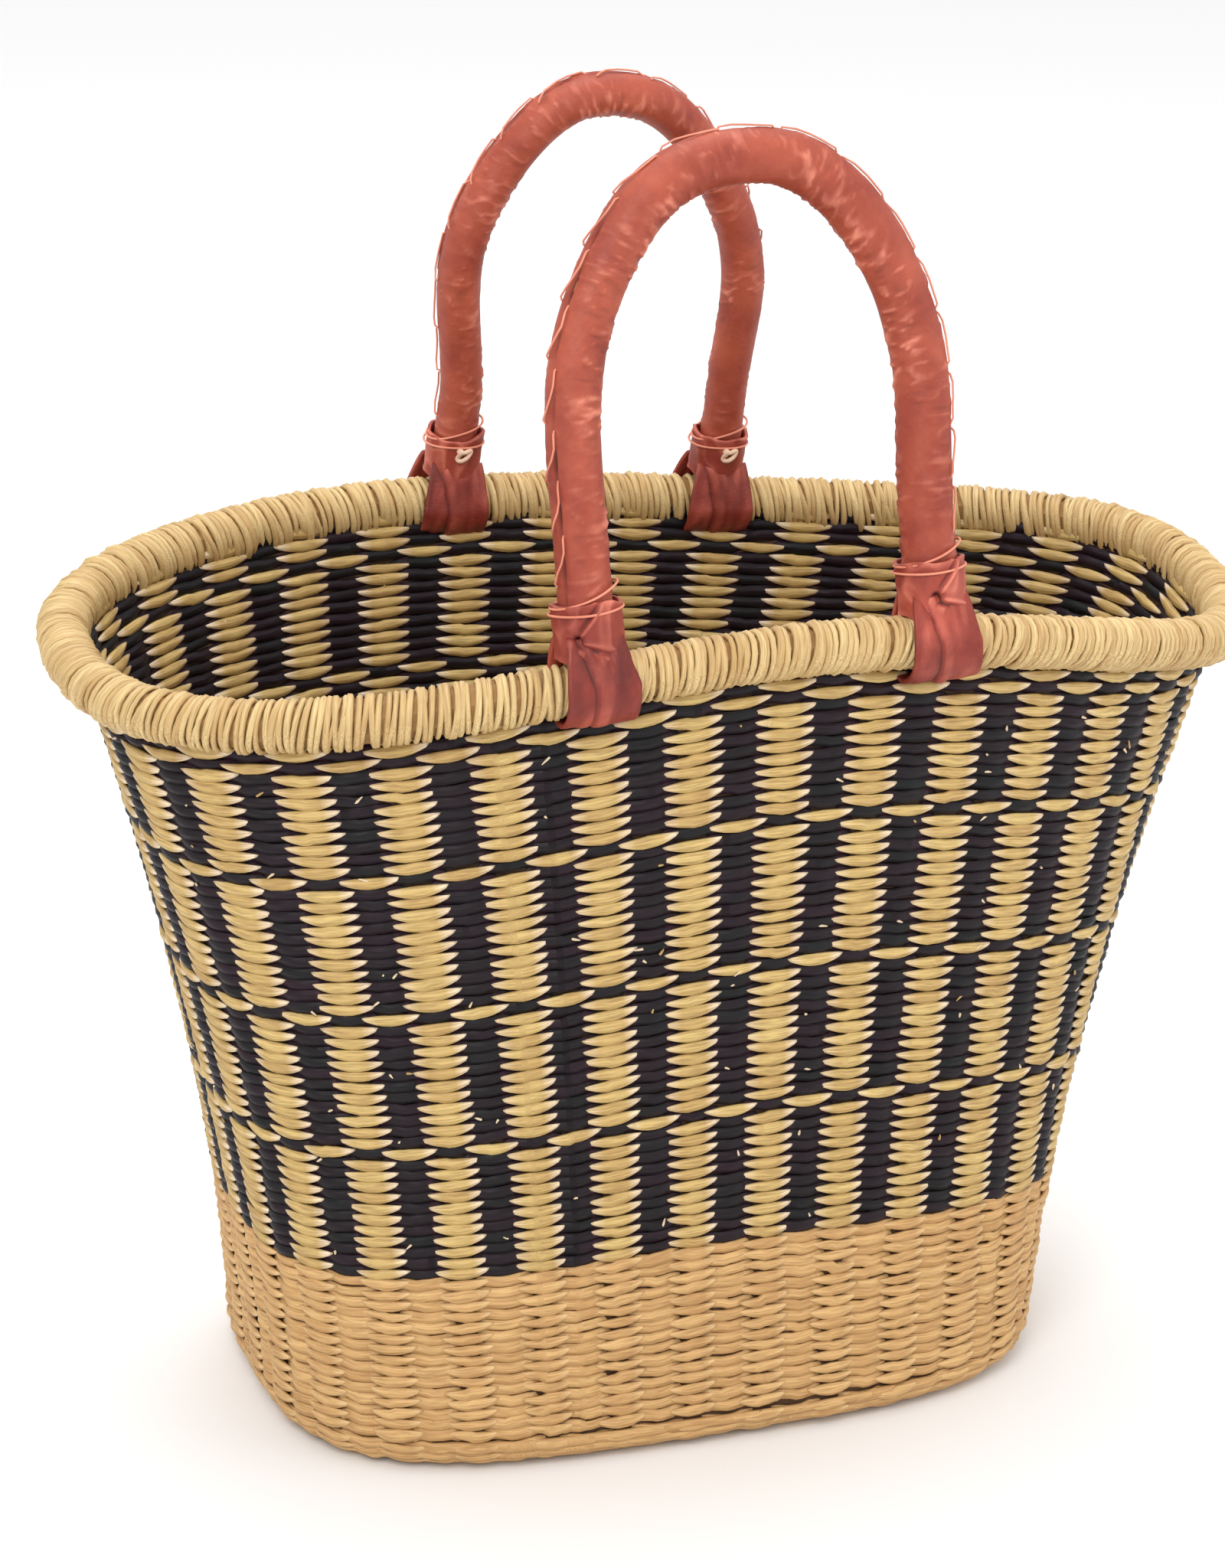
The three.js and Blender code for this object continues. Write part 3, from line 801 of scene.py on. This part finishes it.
def hoop_line(handle, slope, foot, step):
    """Even points along the handle, in millimetres of its own frame, from one foot up and over to the other."""
    share = np.linspace(0, 1, 1200)
    c, s = -np.cos(math.pi * share), np.sin(math.pi * share)
    scale = (np.abs(c) ** handle["squareness"] + s ** handle["squareness"]) ** (-1 / handle["squareness"])
    swell = 1 + handle["bulge"] * np.sin(math.pi * s * scale) ** 2
    up = (handle["rise"] - LEG_HEIGHT) * s * scale
    x = handle["half_span"] * c * scale * swell + slope * up
    leg = np.linspace(foot, LEG_HEIGHT, 40)[:-1]
    span = np.full(len(leg), handle["half_span"])
    x = np.concatenate([-span, x, span])
    z = np.concatenate([leg, LEG_HEIGHT + up, leg[::-1]])
    run = np.concatenate([[0], np.cumsum(np.hypot(np.diff(x), np.diff(z)))])
    even = np.linspace(0, run[-1], int(run[-1] / step))
    x, z = np.interp(even, run, x), np.interp(even, run, z)
    for _ in range(6):
        x[1:-1] = (x[:-2] + 2 * x[1:-1] + x[2:]) / 4
        z[1:-1] = (z[:-2] + 2 * z[1:-1] + z[2:]) / 4
    return np.column_stack([x, np.zeros(len(x)), z]), even


def across_line(line):
    """The direction out of the hoop, in its plane, at each point of its line."""
    along = np.gradient(line, axis=0)
    along /= np.linalg.norm(along, axis=1)[:, None]
    return np.column_stack([-along[:, 2], np.zeros(len(line)), along[:, 0]])


# The whip stitch: how far apart the stitches are, and for each point of a stitch its share of the pitch, its turn
# from the seam in radians, and how far it stands out. The ends go down into the cover.
STITCH_PITCH = 17.5
STITCH_STOPS = [
    (0.0, -0.62, -0.9),
    (0.04, -0.56, 0.0),
    (0.2, -0.34, 0.1),
    (0.42, -0.1, 0.0),
    (0.6, 0.02, 0.0),
    (0.85, 0.03, 0.0),
    (0.93, -0.02, -1.2),
]
COVER_SIDES = 36


def seam_angle(share):
    """How far the seam is turned from the hoop's outer edge towards the basket's outside, along the handle."""
    return np.radians(18 + 24 * np.cos(math.pi * share) ** 2 + 10 * (share - 0.5) * np.abs(np.cos(math.pi * share)))


def layered(place, octaves):
    """Smooth noise at a place given in waves."""
    return sum(noise.noise(Vector(place) * 2**i) / 2**i for i in range(octaves))


def finish_mesh(piece, points, wear_and_painted_light, place):
    """Gives a mesh its points, in millimetres of a handle's frame, and the values that colour its creases: pale on the
    ridges, as wear and a painted highlight, and painted shade in the grooves.
    """
    turn = np.array(place.to_3x3())
    moved = points * MM @ turn.T + np.array(place.translation)
    piece.data.vertices.foreach_set("co", moved.ravel())
    layer = piece.data.attributes.new("wear_and_painted_light", "FLOAT", "POINT")
    layer.data.foreach_set("value", wear_and_painted_light)
    piece.data.shade_smooth()
    piece.data.update()
    return piece


def read_points(piece):
    points = np.empty(3 * len(piece.data.vertices))
    piece.data.vertices.foreach_get("co", points)
    return points.reshape(-1, 3)


def cover(handle, slope, place):
    """The leather cover: a long tube with its seam, its cross creases and its dents."""
    around = COVER_SIDES
    line, run = hoop_line(handle, slope, 19.0, 1.1)
    ring = profile("cover_section", handle["radius"] * MM, handle["radius"] * MM, around)
    piece = strands(f"{handle['name']}_handle_leather", [{"points": line * MM}], ring, "MINIMUM", cyclic=False)
    bpy.data.objects.remove(ring)
    out = across_line(line)
    points = read_points(piece) / MM
    count = len(line) * around
    centre = np.repeat(line, around, 0)
    outer = np.repeat(out, around, 0)
    s = np.repeat(run, around)
    share = s / run[-1]
    off = points[:count] - centre
    off /= np.linalg.norm(off, axis=1)[:, None]
    angle = np.arctan2(off[:, 1] * handle["side"], np.sum(off * outer, axis=1))
    from_seam = (angle - seam_angle(share) + math.pi) % TURN - math.pi
    from_seam *= handle["radius"]
    phase = 17.0 * handle["side"]
    height = np.zeros(count)
    wear_and_painted_light = np.zeros(count)
    for i in range(count):
        c, d = math.cos(angle[i]), math.sin(angle[i])
        broad = layered((s[i] / 34, c * 0.7 + phase, d * 0.7), 2)
        patch = noise.noise(Vector((s[i] / 22, c * 0.9, d * 0.9 + phase)))
        fold = noise.noise(Vector((s[i] / 3.6, c * 0.8 + phase, d * 0.8)))
        fine = noise.noise(Vector((s[i] / 1.9, c * 1.5, d * 1.5 + phase)))
        strength = min(1.0, max(0.0, 0.62 + 1.7 * patch)) * (0.68 - 0.32 * c)
        line_up = (1 - min(1, abs(fold) * 3.4)) ** 2
        height[i] = 0.5 * broad + strength * (0.7 * line_up - 0.2 + 0.3 * fine)
        # The creases' colour: pale on their ridges, as wear and a painted highlight, and painted shade in their
        # grooves.
        wear_and_painted_light[i] = strength * (1.35 * line_up + 0.7 * fine - 0.18) + 0.25 * broad
    # The seam: an edge that laps over, with a furrow beside it. The furrow is painted dark as shade, and the lapped
    # edge is painted pale, as wear and a painted highlight.
    lap = np.where(from_seam > 0, np.exp(-from_seam / 3.2) * 0.65, -0.25 * np.exp(from_seam / 5.0))
    furrow = np.exp(-((from_seam + 0.7) / 0.75) ** 2)
    open_seam = 0.65 + 0.35 * np.sin(s / STITCH_PITCH * TURN)
    height += lap - 0.95 * furrow * open_seam
    wear_and_painted_light += 0.35 * np.exp(-(((from_seam - 0.9) / 0.6) ** 2)) - 1.0 * furrow * open_seam
    points[:count] += off * (height[:, None] - 0.35)
    whole = np.zeros(len(points))
    whole[:count] = np.clip(wear_and_painted_light, -1, 1)
    finish_mesh(piece, points, whole, place)
    piece.data.materials.append(HANDLE_LEATHER)
    return piece


def seam_thread(handle, slope, place):
    """The whip stitch: a thin cord that crosses the seam again and again."""
    line, run = hoop_line(handle, slope, 33.0, 1.1)
    out = across_line(line)
    runs, at = [], 0.0
    while at < run[-1] - STITCH_PITCH:
        points = []
        reach = rng.uniform(0.85, 1.1)
        for step, turned, proud in STITCH_STOPS:
            here = at + step * STITCH_PITCH
            i = int(np.searchsorted(run, here))
            a = seam_angle(here / run[-1] * 0.93 + 0.035) + turned * reach
            r_out = handle["radius"] + 0.6 + proud
            sideways = np.array([0, handle["side"], 0])
            points.append(line[i] + out[i] * r_out * math.cos(a) + sideways * r_out * math.sin(a))
        runs.append({"points": np.array(points) * MM})
        at += STITCH_PITCH * rng.uniform(0.92, 1.08)
    piece = strands(f"{handle['name']}_seam_thread", runs, None, "MINIMUM", cyclic=False, depth=0.36 * MM)
    finish_mesh(piece, read_points(piece) / MM, np.zeros(len(piece.data.vertices)), place)
    piece.data.materials.append(THREAD)
    return piece


def panel(name, across, along, shape_at, thickness, closed):
    """A sheet of leather: a flat grid whose points are moved to shape_at(u, v), then given its thickness."""
    sheet = bmesh.new()
    bmesh.ops.create_grid(sheet, x_segments=across, y_segments=along, size=0.5)
    wear_and_painted_light = []
    mesh = bpy.data.meshes.new(name)
    for vert in sheet.verts:
        u, v = vert.co.x + 0.5, vert.co.y + 0.5
        place, depth = shape_at(u, v)
        vert.co = Vector(place) * MM
        wear_and_painted_light.append(depth)
    layer = sheet.verts.layers.float.new("wear_and_painted_light")
    for vert, depth in zip(sheet.verts, wear_and_painted_light):
        vert[layer] = depth
    if closed:
        bmesh.ops.remove_doubles(sheet, verts=sheet.verts, dist=1e-5)
    bmesh.ops.recalc_face_normals(sheet, faces=sheet.faces)
    sheet.to_mesh(mesh)
    sheet.free()
    mesh.shade_smooth()
    piece = placed(name, mesh)
    wall = piece.modifiers.new("thickness", "SOLIDIFY")
    wall.thickness, wall.offset = thickness * MM, -1
    wall.use_even_offset = False
    return piece


def set_down(piece, place, material, body, node):
    """Puts a foot's piece where its foot is, on its body, in place of its solid."""
    piece.data.transform(place)
    piece.data.materials.append(material)
    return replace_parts(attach(piece, body), node)


# The strap: how far it lies from the rim's centreline, and its half width at the cuff and under the rim.
STRAP_REACH = 11.8
STRAP_NECK = 9.3
STRAP_FOOT = 12.2
STRAP_THICKNESS = 1.5
# The sleeve's lower edge stays about this far from the rim's centreline.
SLEEVE_CLEAR = 11.3
SLEEVE_THICKNESS = 1.3


def foot_loop(name, handle, seed):
    """The strap round the rim: narrow where the cuff grips it, wide and pleated underneath."""
    reach = STRAP_REACH
    neck = 0.80 * handle["radius"]

    def shape_at(u, v):
        x = 2 * u - 1
        if v < 0.25:
            part = v / 0.25
            y, z, low = -(neck + (reach - neck) * part**0.7), 16 - 16 * part, part
            out_y, out_z = -1, 0
        elif v > 0.75:
            part = (1 - v) / 0.25
            y, z, low = neck + (reach - neck) * part**0.7, 16 - 16 * part, part
            out_y, out_z = 1, 0
        else:
            a = math.pi * (v - 0.25) / 0.5
            y, z, low = -reach * math.cos(a), -reach * math.sin(a), 1
            out_y, out_z = -math.cos(a), -math.sin(a)
        wide = STRAP_NECK + (STRAP_FOOT - STRAP_NECK) * min(1, low) ** 0.9 + 0.7 * noise.noise(Vector((seed, v * 3, 0)))
        pleat = noise.noise(Vector((x * 1.5 + 0.9 * v, v * 2.2, seed)))
        ridge = (1 - min(1, abs(pleat) * 3.4)) ** 2 * (1 - 0.45 * low)
        rise = 0.75 * ridge + 0.55 * pleat - 2.2 * x * x * (1 - 0.7 * low)
        # One deep pleat that starts at the cuff and swings inwards as it goes down, with a lap beside it.
        off = x + 0.74 - 0.5 * min(1, low) ** 0.7
        furrow = math.exp(-((off / 0.085) ** 2))
        lap = math.exp(-(((off - 0.2) / 0.13) ** 2))
        rise += 0.5 * lap - 0.9 * furrow
        rise = max(rise, -0.4 - 1.6 * (1 - min(1, low)))
        fine = noise.noise(Vector((x * 5, v * 6, seed)))
        height = rise + 0.2 * fine
        # Colour: pale on the pleats' ridges and on the lap, as wear and a painted highlight, and painted shade in their
        # grooves and in the furrow.
        depth = 0.7 * ridge + 0.6 * pleat + 0.4 * fine + 0.35 * lap - 0.95 * furrow
        return (x * wide, y + out_y * height, z + out_z * height), max(-1, min(1, depth))

    return panel(name, 22, 60, shape_at, STRAP_THICKNESS, False)


def foot_cuff(name, handle, seed, pinch):
    """The cuff: a short sleeve with a pinched fold, at the angle pinch from straight out, on its outer side."""
    side = handle["side"]
    clear_of_rim = math.sqrt(SLEEVE_CLEAR**2 - (handle["radius"] + 0.7) ** 2)

    def shape_at(u, v):
        a = TURN * u
        c, s = math.cos(a), math.sin(a) * side
        bottom = clear_of_rim + 5.0 * c * c + 0.7 * noise.noise(Vector((c * 2, s * 2, seed + 4)))
        top = SLEEVE_TOP + 1.9 * noise.noise(Vector((c * 1.2, s * 1.2, seed)))
        z = bottom + (top - bottom) * v
        edge = max(0, 0.12 - v) / 0.12 + max(0, v - 0.9) / 0.1
        fold = noise.noise(Vector((c * 2.1, s * 2.1 + seed, v * 1.1)))
        ridge = (1 - min(1, abs(noise.noise(Vector((c * 1.7 + seed, s * 1.7, v * 1.6)))) * 3.2)) ** 2
        r_out = handle["radius"] + 2.0 + 0.35 * edge + 0.45 * fold + 0.25 * ridge
        # Colour: the top and bottom edges and the ridges painted pale, as wear and a painted highlight, and the folds'
        # hollows painted shade.
        depth = 0.45 * ridge + 0.5 * fold + 0.4 * edge
        # The pinch: a hole, from which one edge runs up to the top and one runs away to the side, over a shadow. The
        # hole and the hollows under and beside the edges are painted dark as shade, and the edges pale, as wear and a
        # painted highlight.
        facing = math.atan2(c, s)
        dx, dz = (facing - pinch) * r_out, z - PINCH_HEIGHT
        hole = math.exp(-((dx * dx + dz * dz) / 3.0)) + 0.5 * math.exp(-(((dx - 3.6) ** 2 + (dz + 5.4) ** 2) / 1.6))
        near = max(0.0, min(1.0, dx / 1.2))
        upper = near * math.exp(-(((dz - 1.15 * dx) / 1.0) ** 2)) * max(0.0, min(1.0, (10 - dx) / 3))
        lower = near * math.exp(-(((dz + 0.3 * dx) / 0.8) ** 2)) * max(0.0, min(1.0, (15 - dx) / 4))
        hollow_and_shade_under = near * math.exp(-(((dz + 0.3 * dx + 1.7) / 0.8) ** 2)) * max(0.0, min(1.0, (15 - dx) / 4))
        hollow_and_shade_beside = max(0.0, min(1.0, (dx + 4) / 3)) * math.exp(-(((dz - 1.15 * dx - 2.2) / 1.1) ** 2)) * near
        r_out += -3.0 * hole + 1.1 * (upper + lower) - 0.7 * (hollow_and_shade_under + hollow_and_shade_beside)
        # Painted shade in the hole and in the hollows under and beside the edges; wear and a painted highlight on the
        # edges.
        depth += -3.0 * hole + 0.8 * (upper + lower) - 1.1 * (hollow_and_shade_under + 0.7 * hollow_and_shade_beside)
        return (r_out * c, r_out * math.sin(a), z), max(-1, min(1, depth))

    return panel(name, 120, 48, shape_at, SLEEVE_THICKNESS, True)


def knot_piece(name, handle, seed):
    """A knot of pale cord on the cuff, on the side that faces the other handle."""
    t = np.linspace(0, TURN, 40, endpoint=False)
    x = 1.9 * (np.sin(t) + 0.62 * np.sin(2 * t + seed))
    z = 1.6 * (np.cos(t) - 0.62 * np.cos(2 * t))
    y = -handle["side"] * (handle["radius"] + 3.2 + 0.7 * np.sin(3 * t))
    points = np.column_stack([x, y, z + PEG_HEIGHT - 4.0])
    return strands(name, [{"points": points * MM}], None, "MINIMUM", depth=0.85 * MM, resolution=2)


def tie_piece(name, handle, seed):
    """Two thin cords round the top of the cuff, one level and one aslant."""
    t = np.linspace(0, TURN, 60, endpoint=False)
    runs = []
    for height, slant, reach, slack in ((24.2, 0.5, 2.5, 0.7), (29.3, 3.6, 1.2, 1.3)):
        r_out = handle["radius"] + reach + slack * np.maximum(0, -np.cos(t)) ** 3 + 0.2 * np.sin(3 * t + seed)
        z = height + slant * np.cos(t) + 0.4 * np.sin(2 * t + seed)
        runs.append({"points": np.column_stack([r_out * np.cos(t), r_out * np.sin(t), z]) * MM})
    return strands(name, runs, None, "MINIMUM", depth=0.42 * MM)


def no_crease(piece):
    """Gives a piece the attribute that its material reads, at nothing all over."""
    piece.data.attributes.new("wear_and_painted_light", "FLOAT", "POINT")
    return piece


# Where each sleeve's pinch is, as an angle in radians from straight out of the basket towards +X.
PINCHES = {"front_left": -0.63, "front_right": -0.21, "back_left": 0.3, "back_right": -0.2}
for handle in HANDLES:
    name = handle["name"]
    body = f"{name}_handle"
    place, slope = handle_place(handle)
    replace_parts(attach(cover(handle, slope, place), body), f"{name}_handle_cover")
    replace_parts(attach(seam_thread(handle, slope, place), body), f"{name}_handle_lacing")
    for end, word in ((-1, "left"), (1, "right")):
        seed = 3.1 * end + 7.7 * handle["side"]
        foot = place @ Matrix.Translation((end * handle["half_span"] * MM, 0, 0))
        tag = f"{name}_{word}"
        strap = foot_loop(f"{tag}_strap", handle, seed)
        sleeve = foot_cuff(f"{tag}_sleeve", handle, seed, PINCHES[tag])
        knot = no_crease(knot_piece(f"{tag}_knot", handle, seed))
        cords = no_crease(tie_piece(f"{tag}_tie_cords", handle, seed))
        set_down(strap, foot, CUFF_LEATHER, body, f"{tag}_loop")
        set_down(sleeve, foot, SLEEVE_LEATHER, body, f"{tag}_cuff")
        set_down(knot, foot, KNOT, body, f"{tag}_peg")
        set_down(cords, foot, THREAD, body, f"{tag}_tie")

# The cores take the darker core straw, which shows between the wraps as painted shade.
for node in ("rim_core", "front_handle_core", "back_handle_core"):
    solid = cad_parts[node]
    solid.data.materials.clear()
    solid.data.materials.append(CORE_STRAW_WITH_GAP_SHADE)

# ---------------------------------------------------------------- Camera, floor and light


def aim(obj, place, right, up, forward):
    """Puts an object where its own axes are these directions, looking along forward."""
    turn = Matrix((right, up, -Vector(forward))).transposed().to_4x4()
    obj.matrix_world = Matrix.Translation(place) @ turn


# The camera's place and the directions of its own axes.
CAMERA_LENS = 98.88
CAMERA_PLACE = Vector((-0.50058, -1.34765, 0.73016))
CAMERA_RIGHT = Vector((0.94325, -0.33160, 0.01808))
CAMERA_UP = Vector((0.09612, 0.32472, 0.94091))
CAMERA_FORWARD = Vector((0.31788, 0.88578, -0.33816))

camera = placed("camera", bpy.data.cameras.new("camera"))
camera.data.sensor_width = 36
camera.data.lens = CAMERA_LENS
camera.data.clip_start, camera.data.clip_end = 0.05, 50
aim(camera, CAMERA_PLACE, CAMERA_RIGHT, CAMERA_UP, CAMERA_FORWARD)
bpy.context.scene.camera = camera

FLOOR_HALF_SIZE = 12
FLOOR_COLOUR = (0.86, 0.86, 0.86, 1)
floor_mesh = bpy.data.meshes.new("floor")
shape = bmesh.new()
bmesh.ops.create_grid(shape, x_segments=1, y_segments=1, size=FLOOR_HALF_SIZE)
shape.to_mesh(floor_mesh)
shape.free()
floor = placed("floor", floor_mesh)
floor.location.z = cad_box[0].z - 0.0005
pale = bpy.data.materials.new("pale_floor")
pale.use_nodes = True
pale_shader = pale.node_tree.nodes["Principled BSDF"]
pale_shader.inputs["Base Color"].default_value = FLOOR_COLOUR
pale_shader.inputs["Roughness"].default_value = 0.9
floor_mesh.materials.append(pale)

BASKET_MIDDLE = Vector((0, 0, 0.2))


def lamp(name, place, size, watts):
    """A round soft light that looks at the middle of the basket."""
    data = bpy.data.lights.new(name, "AREA")
    data.shape, data.size, data.energy = "DISK", size, watts
    made = placed(name, data)
    made.location = place
    made.rotation_mode = "QUATERNION"
    made.rotation_quaternion = (BASKET_MIDDLE - Vector(place)).to_track_quat("-Z", "Y")


lamp("key_light", (-1.1, -1.6, 1.9), 1.2, 25)
lamp("fill_light", (1.7, -1.2, 1.1), 1.6, 8)
lamp("top_light", (0.1, 0.5, 2.2), 1.6, 20)
world = bpy.data.worlds.new("studio")
world.use_nodes = True
world.node_tree.nodes["Background"].inputs["Color"].default_value = (1, 1, 1, 1)
world.node_tree.nodes["Background"].inputs["Strength"].default_value = 1.0
bpy.context.scene.world = world
bpy.context.scene.view_settings.view_transform = "Standard"

bpy.data.objects.remove(STRAND)
